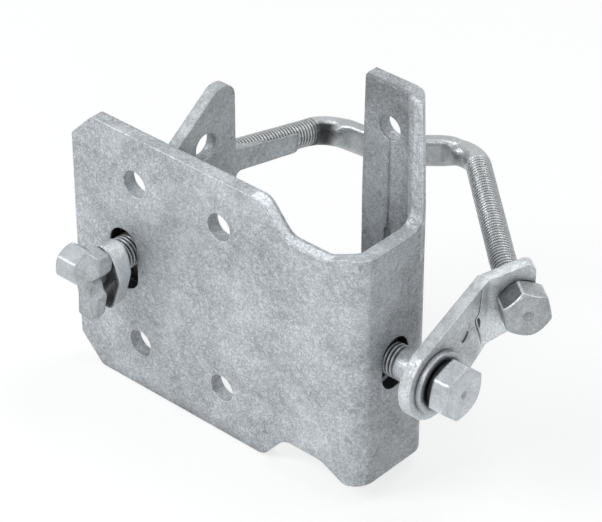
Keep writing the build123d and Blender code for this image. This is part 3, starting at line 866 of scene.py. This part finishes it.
# Link bolt, washers and nuts
def make_hex_bolt():
    """The M16 bolt: punched and chamfered head, smooth neck and a thread to its end."""
    half = FASTENER_FLATS / 2
    outer, face, drop = chamfered(FASTENER_FLATS, BOLT_CHAMFER)
    tip = BOLT_END_X - BOLT_HEAD_X
    profile = [
        (0.2, BOLT_HEAD - 0.7),
        (0.9, BOLT_HEAD - 0.6),
        (1.5, BOLT_HEAD - 0.02),
        (half * 0.9, BOLT_HEAD),
        (face, BOLT_HEAD - 0.03),
        (outer, BOLT_HEAD - drop),
        (outer, 0.5),
        (half * 0.99, 0.0),
        (SHANK_RADIUS + 0.6, 0.0),
        (SHANK_RADIUS, -0.6),
        (SHANK_RADIUS, tip + 1.2),
        (SHANK_RADIUS - 1.2, tip),
        (0.2, tip),
    ]
    counts = [2, 3, 10, 3, 14, 12, 4, 4, 3, 280, 4, 4]
    angle, radius, height, rims = turned_hexagon(profile, counts, FASTENER_FLATS, BOLT_TURN, 168)

    # The thread starts on the shank and fades in, and its roots get painted shade; the rims' painted
    # highlight is on the head alone
    place = BOLT_HEAD_X + height
    share = np.clip((BOLT_THREAD_X - place) / 1.5, 0, 1) * (height < -1)
    wave = thread_wave(height[:, 0], angle, PITCH) * share * (radius > SHANK_RADIUS - 0.9)
    rims = rims * (place > BOLT_HEAD_X + 0.3)
    radius = radius - THREAD_DEPTH * wave
    grid = on_axis(radius, height, angle, (BOLT_HEAD_X, BOLT_Y, BOLT_Z), OUT)
    make_piece("hex_bolt", grid, FASTENER_ZINC, ["link_bolt"], painted_shading=wave + rims)


def ring_section(inner, outer, thick, count, squareness):
    """The cut through a flat ring as a soft rectangle: radius and height at each angle of its loop."""
    loop = circle(count)
    power = 2 / squareness
    across = np.sign(np.cos(loop)) * np.abs(np.cos(loop)) ** power
    upright = np.sign(np.sin(loop)) * np.abs(np.sin(loop)) ** power
    return (inner + outer) / 2 + (outer - inner) / 2 * across, thick / 2 + thick / 2 * upright


def make_flat_washer(name, node, origin, axis, outer, dark_inside, dark_below):
    """A flat washer with soft edges: its soft rectangular cut turned about its axis.

    It gets painted shade inside a radius and below a height, where no light gets in.
    """
    radius, height = ring_section(WASHER_BORE / 2, outer / 2, WASHER_THICK, 40, 7.0)
    angle = circle(120)
    radius = np.repeat(radius[:, None], angle.size, 1)
    height = np.repeat(height[:, None], angle.size, 1)
    painted_shade = np.where((height < dark_below) & (radius < dark_inside), 1.0, 0.0)
    grid = on_axis(radius, height, angle, origin, axis)
    make_piece(name, grid, FASTENER_ZINC, [node], ring=True, painted_shading=painted_shade)


def make_split_washer():
    """The spring washer: its cut turned through less than a full turn, with one end a little ahead."""
    angle = np.linspace(math.radians(104), math.radians(452), 120)
    radius, height = ring_section(8.5, 11.2, 2.7, 32, 6.0)
    lead = np.linspace(0.0, 0.3, angle.size)
    round_about = np.stack([np.zeros_like(angle), np.sin(angle), np.cos(angle)], axis=-1)
    origin = np.array([LINK_FACE_X + WASHER_THICK, BOLT_Y, BOLT_Z])
    grid = origin + radius[None, :, None] * round_about[:, None, :]
    grid = grid + (height[None, :] + lead[:, None])[..., None] * np.array(OUT)
    # The whole spring washer gets painted shade, as it sits in the dark gap under the bolt's head
    painted_shade = np.ones(grid.shape[:2])
    make_piece("split_washer", grid, FASTENER_ZINC, ["link_spring_washer"], painted_shading=painted_shade)


def make_hex_nut(name, node, origin, axis, turn):
    """An M16 nut: its turned loop of chamfers and bore, cut to a hexagon outside."""
    outer, face, drop = chamfered(FASTENER_FLATS, 30)
    profile = [
        (NUT_BORE_RADIUS, 1.0),
        (9.0, 0.05),
        (face, 0.0),
        (outer, drop),
        (outer, NUT_HEIGHT - drop),
        (face, NUT_HEIGHT),
        (9.0, NUT_HEIGHT - 0.05),
        (NUT_BORE_RADIUS, NUT_HEIGHT - 1.0),
    ]
    counts = [3, 6, 12, 12, 12, 6, 3]
    angle, radius, height, _ = turned_hexagon(profile, counts, FASTENER_FLATS, turn, 168)
    grid = on_axis(radius, height, angle, origin, axis)
    make_piece(name, grid, FASTENER_ZINC, [node], ring=True)


# Clamp stud and collar
def outline_reach(outline, centre, angle, soften):
    """Distance from a point inside a straight-sided outline to its side, at each angle.

    The sides are walked in small steps, each step's angle and distance are taken from the centre,
    and the distances are read at the wanted angles, then averaged with their neighbours.
    """
    steps_a_side = 60
    corners = np.array(outline + outline[:1], dtype=float) - np.array(centre)
    step = np.linspace(0, len(outline), len(outline) * steps_a_side, endpoint=False)
    walk = read_along(step, np.arange(len(corners)), corners)
    bearing = np.mod(np.arctan2(walk[:, 1], walk[:, 0]), TURN)
    order = np.argsort(bearing)
    reach = np.interp(angle, bearing[order], np.hypot(*walk.T)[order], period=TURN)
    return averaged(reach, soften, "wrap")


def lofted_block(sections, centre, edge, angle, soften):
    """A forged block: outlines at given depths joined by straight runs, with its rims rounded.

    Near each end the outline draws in by the edge's radius less the height of a quarter circle.
    """
    depth = np.array([place for place, _ in sections])
    front, back = depth[0], depth[-1]
    rim = edge * (1 - np.cos(np.linspace(0, math.pi / 2, 6)))
    middle = np.linspace(front + edge, back - edge, 24)
    rows = np.unique(np.concatenate([front + rim, middle, back - rim]))
    reaches = np.stack([outline_reach(outline, centre, angle, soften) for _, outline in sections])
    reach = read_along(rows, depth, reaches)
    near = np.minimum(rows - front, back - rows)
    fall = np.clip(1 - near / edge, 0, 1)
    reach = reach - (edge * (1 - np.sqrt(1 - fall**2)))[:, None]
    x = STUD_X + centre[0] + reach * np.cos(angle)
    z = STUD_Z + centre[1] + reach * np.sin(angle)
    return np.stack([x, np.repeat(rows[:, None], angle.size, 1), z], axis=-1), reach


def make_jaw():
    """The stud's notched head: an upper finger and a lower lobe that runs up into it."""
    angle = circle(240)
    sections = [(-30.0, FINGER_FRONT), (-23.5, FINGER_BACK)]
    finger, _ = lofted_block(sections, (6.0, 9.5), 0.55, angle, 3)
    make_piece("jaw_finger", finger, FORGED_ZINC, ["clamp_stud"])
    sections = [(-29.96, LOBE_FRONT), (-27.5, LOBE_MIDDLE), (-23.5, LOBE_BACK)]
    lobe, _ = lofted_block(sections, (4.0, -9.5), 0.5, angle, 3)
    make_piece("jaw_lobe", lobe, FORGED_ZINC, ["clamp_stud"])


def make_side_stub():
    """The hexagonal stub beside the stud's head, with a chamfered outer end."""
    profile = [
        (0.3, 0.0),
        (7.3, 0.0),
        (8.3, 0.35),
        (10.4, 1.9),
        (10.4, 15.5),
        (6.0, 16.6),
        (0.3, 16.7),
    ]
    counts = [3, 4, 8, 16, 8, 3]
    angle, radius, height, rims = turned_hexagon(profile, counts, STUB_FLATS, STUB_TURN, 240)
    grid = on_axis(radius, height, angle, STUB_PLACE, OUT)
    # The stub's rims get a painted highlight
    make_piece("side_stub", grid, STUB_ZINC, ["clamp_stud"], painted_shading=rims)


def make_stud_shank():
    """The stud's shank, plain under the collar and threaded from there to its end."""
    profile = [
        (0.2, -24.5),
        (SHANK_RADIUS, -24.5),
        (SHANK_RADIUS, 26.0),
        (6.9, 27.0),
        (0.2, 27.0),
    ]
    radius, height = dense(profile, [3, 480, 4, 3])
    angle = circle(120)
    threaded = (height > -10.8) & (radius > 6.5)
    wave = thread_wave(height, angle, PITCH) * threaded[:, None]
    radius = np.repeat(radius[:, None], angle.size, 1) - THREAD_DEPTH * wave
    height = np.repeat(height[:, None], angle.size, 1)
    grid = on_axis(radius, height, angle, (STUD_X, 0, STUD_Z), BACK)
    # The thread's roots get painted shade
    make_piece("stud_shank", grid, FASTENER_ZINC, ["clamp_stud"], painted_shading=wave)


def make_claw_collar():
    """The angular collar on the stud: its outline lofted front to back, round a bore."""
    wall = 0.6
    front, back = -19.5, -11.0
    angle = circle(240)
    sections = [(front, COLLAR_FRONT), (back, COLLAR_BACK)]
    outer, reach = lofted_block(sections, (0.0, 0.0), 0.6, angle, 5)
    widen = np.maximum(reach, COLLAR_BORE_RADIUS + wall) / reach
    axis = np.array([STUD_X, 0.0, STUD_Z])
    spread = (outer - axis) * np.array([1, 0, 1]) * widen[..., None]
    outer = axis + spread + outer * np.array(BACK)
    round_about = np.stack([np.cos(angle), np.zeros_like(angle), np.sin(angle)], axis=-1)
    depth = np.linspace(back - 0.2, front + 0.2, 8)
    inner = axis + COLLAR_BORE_RADIUS * round_about + depth[:, None, None] * np.array(BACK)
    grid = np.concatenate([outer, inner])
    make_piece("claw_collar", grid, COLLAR_ZINC, ["clamp_collar"], ring=True)


# Welds
def weld_bead(corner, along, first, second, length, leg, ripple):
    """A fillet bead laid in a corner between two faces.

    Its cut is the corner and a curve from one face to the other, at leg times the cosine and sine
    of the curve's angle raised to 1.25. The leg swells and shrinks with the crescents of the bead,
    and closes like a high power curve at both ends.
    """
    vectors = (corner, along, first, second)
    corner, along, first, second = (np.array(vector, dtype=float) for vector in vectors)
    place = np.linspace(0, length, int(length * 5))
    arc = np.linspace(0, math.pi / 2, 18)
    crescent = np.sin(TURN * (place[:, None] / ripple + 0.22 * np.sin(2 * arc)[None, :]))
    wander = np.sin(place * 0.9) * 0.035 + np.sin(place * 0.37 + 1) * 0.05
    ends = np.sqrt(np.clip(1 - np.abs(2 * place / length - 1) ** 14, 0.02, 1))
    reach = leg * ends[:, None] * (1 + 0.05 * crescent + wander[:, None])
    first_share = (np.cos(arc) ** 1.25)[None, :, None]
    second_share = (np.sin(arc) ** 1.25)[None, :, None]
    out = reach[..., None] * (first_share * first + second_share * second)
    base = corner + place[:, None] * along
    return np.concatenate([base[:, None, :] + out, base[:, None, :]], axis=1)


def make_welds():
    """The two beads beside the ear and the bead between the bow and the tongue."""
    for name, node, x, away in (
        ("ear_bead_right", "ear_weld_right", EAR_RIGHT_X, 1),
        ("ear_bead_left", "ear_weld_left", EAR_LEFT_X, -1),
    ):
        corner = (x, PLATE_BACK_Y, EAR_BEAD_Z)
        shape = (EAR_BEAD_LENGTH, EAR_BEAD_LEG, EAR_BEAD_RIPPLE)
        bead = weld_bead(corner, UP, (away, 0, 0), BACK, *shape)
        make_piece(name, bead, WELD_ZINC, [node])
    start = np.array(BOW_START)
    run = unit(np.array(BOW_LEFT) - start)
    rise = np.cross(np.array(OUT), run)
    beside_tongue = np.array([6.3, 0, 0])
    corner = start + run * BOW_BEAD_START + beside_tongue + rise * 1.6
    shape = (BOW_BEAD_LENGTH, BOW_BEAD_LEG, BOW_BEAD_RIPPLE)
    bead = weld_bead(corner, run, rise, (-1, 0, 0), *shape)
    make_piece("bow_bead", bead, WELD_ZINC, ["bow_weld"])


# Pressed marks
def fold_mark(name, places, face, wide, tall, dark):
    """A shallow pressed mark: a flat round section along a path of places, pointed at both ends.

    Its half width and its rise shrink toward the ends like a circle. dark paints shade on the upper
    side.
    """
    places = np.array(places, dtype=float)
    share = np.linspace(0, 1, 60)
    path = read_along(share, np.linspace(0, 1, len(places)), places)
    path = np.stack([averaged(column, 4, "edge") for column in path.T], axis=-1)
    along = np.gradient(path, axis=0)
    along /= np.linalg.norm(along, axis=1)[:, None]
    face = np.array(face, dtype=float)
    side = np.cross(along, face)
    loop = circle(16)
    swell = np.sqrt(np.clip(1 - (2 * share - 1) ** 2, 0.01, 1))[:, None, None]
    across = wide * np.cos(loop)[None, :, None] * side[:, None, :]
    upright = tall * np.sin(loop)[None, :, None] * face
    grid = path[:, None, :] + swell * (across + upright)
    shaded = np.repeat(dark * np.clip((np.sin(loop) - 0.3) / 0.4, 0, 1)[None, :], share.size, 0)
    make_piece(name, grid, LINK_ZINC, painted_shading=shaded)


# Marks on the link's face: a path of Y and Z, half width, rise and darkness of painted shade
LINK_BEND = [(54.9, 35.0), (54.2, 27.5), (53.5, 21.4), (50.3, 18.8), (54.9, 8.0), (56.0, 2.4)]
LINK_MARKS = {
    "fold_ridge": (LINK_BEND, 0.4, 0.35, 0.0),
    "fold_line": ([(y - 0.9, z - 0.2) for y, z in LINK_BEND], 0.35, 0.14, 1.0),
    "fold_slit": ([(41.2, 11.0), (43.2, 13.0), (45.4, 15.7)], 1.3, 0.5, 1.0),
    "fold_lip": ([(45.6, 15.8), (46.9, 17.2), (46.4, 19.8)], 0.55, 0.5, 0.0),
    "fold_pinch": ([(46.8, 14.6), (49.0, 15.4), (50.6, 12.4)], 0.5, 0.45, 0.3),
    "fold_hollow": ([(50.9, 19.4), (52.6, 17.0), (53.0, 12.8)], 1.1, 0.5, 1.0),
}


def make_marks():
    """The pressed folds on the link beside its bend, and a bead inside the strip, behind its crease."""
    for name, (path, wide, tall, dark) in LINK_MARKS.items():
        fold_mark(name, [(LINK_FACE_X, y, z) for y, z in path], OUT, wide, tall, dark)
    crease = [(90.2, 43.5, 46.0), (90.2, 43.5, 97.0)]
    fold_mark("crease_edge", crease, (0, -1, 0), 0.38, 0.25, 0.0)


# Ear plate
def make_ear_piece():
    """The ear plate with the top of its tongue sloped toward the bow, where the weld sits.

    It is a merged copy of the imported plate. Points on the tongue's far face, near its upper edge,
    go down by the slope's depth.
    """
    mesh = nodes["ear_plate"].data.copy()
    mesh.name = "ear_sloped"
    shape = bmesh.new()
    shape.from_mesh(mesh)
    bmesh.ops.remove_doubles(shape, verts=shape.verts, dist=1e-6)
    shape.to_mesh(mesh)
    shape.free()
    points = np.empty(len(mesh.vertices) * 3)
    mesh.vertices.foreach_get("co", points)
    points = points.reshape(-1, 3)
    x, y, z = (points / MM).T
    edge = TONGUE_TOP_Z - TONGUE_SLOPE * (y - TONGUE_Y)
    upper = (x < EAR_LEFT_X + 0.5) & (y > TONGUE_Y + 1.5) & (z > edge - 2.6)
    points[:, 2] -= np.where(upper, 5.6 * MM, 0.0)
    mesh.vertices.foreach_set("co", points.ravel())
    mesh.polygons.foreach_set("use_smooth", np.ones(len(mesh.polygons), dtype=bool))
    mesh.set_sharp_from_angle(angle=math.radians(24))
    mesh.materials.clear()
    mesh.materials.append(EAR_ZINC)
    mesh.update()
    place_piece("ear_sloped", mesh, ["ear_plate"])


make_bow_rod()
make_cap_hexagon()
make_hex_bolt()
make_split_washer()
LINK_WASHER_PLACE = (LINK_FACE_X, BOLT_Y, BOLT_Z)
make_flat_washer("rim_washer", "link_washer", LINK_WASHER_PLACE, OUT, 30.4, 12.5, 3.1)
FLANGE_WASHER_PLACE = (FLANGE_INNER_X, BOLT_Y, BOLT_Z)
make_flat_washer("inner_washer", "flange_washer", FLANGE_WASHER_PLACE, (-1, 0, 0), 28.5, 13.2, 1.8)
FLANGE_NUT_PLACE = (FLANGE_INNER_X - WASHER_THICK - NUT_HEIGHT, BOLT_Y, BOLT_Z)
make_hex_nut("inner_nut", "flange_nut", FLANGE_NUT_PLACE, OUT, -20)
BACK_WASHER_PLACE = (STUD_X, PLATE_BACK_Y, STUD_Z)
make_flat_washer("back_washer", "clamp_back_washer", BACK_WASHER_PLACE, BACK, 43.0, 20.5, 1.8)
BACK_NUT_PLACE = (STUD_X, PLATE_BACK_Y + WASHER_THICK, STUD_Z)
make_hex_nut("back_nut", "clamp_back_nut", BACK_NUT_PLACE, BACK, 15)
make_jaw()
make_side_stub()
make_stud_shank()
make_claw_collar()
make_welds()
make_marks()
make_ear_piece()

# Floor and background: their shares and strengths give a near white picture with a soft shadow
PAPER_GLOW = 1.19
PAPER_SHARE = 0.6
PAPER_COLOUR = (0.86, 0.86, 0.86, 1)
FLOOR_HALF_M = 5.0
FLOOR_GAP_M = 0.0005
ROOM_COLOUR = (0.95, 0.98, 1.0, 1)
ROOM_STRENGTH = 0.42
WHITE = (1, 1, 1, 1)


def paper_material():
    """White paper: plain for the lights, brighter where the camera or a gloss sees it."""
    recipe = Recipe("paper")
    matte = recipe.node("ShaderNodeBsdfDiffuse")
    matte.inputs["Color"].default_value = PAPER_COLOUR
    bright = recipe.node("ShaderNodeEmission")
    bright.inputs["Color"].default_value = WHITE
    bright.inputs["Strength"].default_value = PAPER_GLOW
    ray = recipe.node("ShaderNodeLightPath")
    seen = recipe.math("ADD", ray.outputs["Is Camera Ray"], ray.outputs["Is Glossy Ray"])
    seen = recipe.math("ADD", seen, ray.outputs["Is Transmission Ray"], clamp=True)
    blend = recipe.node("ShaderNodeMixShader")
    recipe.join(recipe.math("MULTIPLY", seen, PAPER_SHARE), blend.inputs[0])
    recipe.join(matte.outputs["BSDF"], blend.inputs[1])
    recipe.join(bright.outputs["Emission"], blend.inputs[2])
    output = recipe.node("ShaderNodeOutputMaterial")
    recipe.join(blend.outputs["Shader"], output.inputs["Surface"])
    return recipe.material


def make_floor():
    """A wide level square just under the part."""
    half = FLOOR_HALF_M
    mesh = bpy.data.meshes.new("floor")
    corners = [(-half, -half, 0), (half, -half, 0), (half, half, 0), (-half, half, 0)]
    mesh.from_pydata(corners, [], [(0, 1, 2, 3)])
    mesh.materials.append(paper_material())
    floor = bpy.data.objects.new("floor", mesh)
    floor.location = (0, 0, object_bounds()[0][2] - FLOOR_GAP_M)
    scene.collection.objects.link(floor)


def make_world():
    """Soft room light, and plain white wherever the camera or a gloss looks past the object."""
    world = bpy.data.worlds.new("studio")
    scene.world = world
    world.use_nodes = True
    tree = world.node_tree
    tree.nodes.clear()
    room = tree.nodes.new("ShaderNodeBackground")
    room.inputs["Color"].default_value = ROOM_COLOUR
    room.inputs["Strength"].default_value = ROOM_STRENGTH
    white = tree.nodes.new("ShaderNodeBackground")
    white.inputs["Color"].default_value = WHITE
    white.inputs["Strength"].default_value = 1.0
    ray = tree.nodes.new("ShaderNodeLightPath")
    first = tree.nodes.new("ShaderNodeMath")
    first.operation = "ADD"
    second = tree.nodes.new("ShaderNodeMath")
    second.operation = "ADD"
    second.use_clamp = True
    blend = tree.nodes.new("ShaderNodeMixShader")
    output = tree.nodes.new("ShaderNodeOutputWorld")
    tree.links.new(ray.outputs["Is Camera Ray"], first.inputs[0])
    tree.links.new(ray.outputs["Is Glossy Ray"], first.inputs[1])
    tree.links.new(first.outputs[0], second.inputs[0])
    tree.links.new(ray.outputs["Is Transmission Ray"], second.inputs[1])
    tree.links.new(second.outputs[0], blend.inputs[0])
    tree.links.new(room.outputs["Background"], blend.inputs[1])
    tree.links.new(white.outputs["Background"], blend.inputs[2])
    tree.links.new(blend.outputs["Shader"], output.inputs["Surface"])


def turned_to(place, target):
    """The rotation by which a lamp or a camera at a place looks at a target."""
    return (Vector(target) - Vector(place)).to_track_quat("-Z", "Y").to_euler()


def make_softbox(name, place, target, size, power):
    """A square soft lamp, with its place, target and size in metres and its power in watts."""
    lamp = bpy.data.lights.new(name, "AREA")
    lamp.shape = "SQUARE"
    lamp.size = size
    lamp.energy = power
    softbox = bpy.data.objects.new(name, lamp)
    softbox.location = place
    softbox.rotation_euler = turned_to(place, target)
    scene.collection.objects.link(softbox)


make_floor()
make_world()
make_softbox("key", (-0.55, -0.95, 1.05), (0.03, 0.05, 0.02), 0.7, 10.0)
make_softbox("top", (0.25, 0.55, 1.3), (0.03, 0.05, 0.02), 0.6, 4.0)
make_softbox("side", (0.85, -0.75, 0.55), (0.05, 0.05, 0.02), 0.4, 1.6)

# Camera, with its place and target in metres
CAMERA_PLACE = (0.7459, -0.7456, 0.7371)
CAMERA_TARGET = (0.04087, 0.03893, 0.01346)
camera_data = bpy.data.cameras.new("camera")
camera_data.lens = 167.2
camera_data.sensor_width = 36.0
camera_data.sensor_fit = "HORIZONTAL"
camera_data.clip_end = 20.0
camera = bpy.data.objects.new("camera", camera_data)
camera.location = CAMERA_PLACE
camera.rotation_euler = turned_to(CAMERA_PLACE, CAMERA_TARGET)
scene.collection.objects.link(camera)
scene.camera = camera
scene.view_settings.view_transform = "Standard"
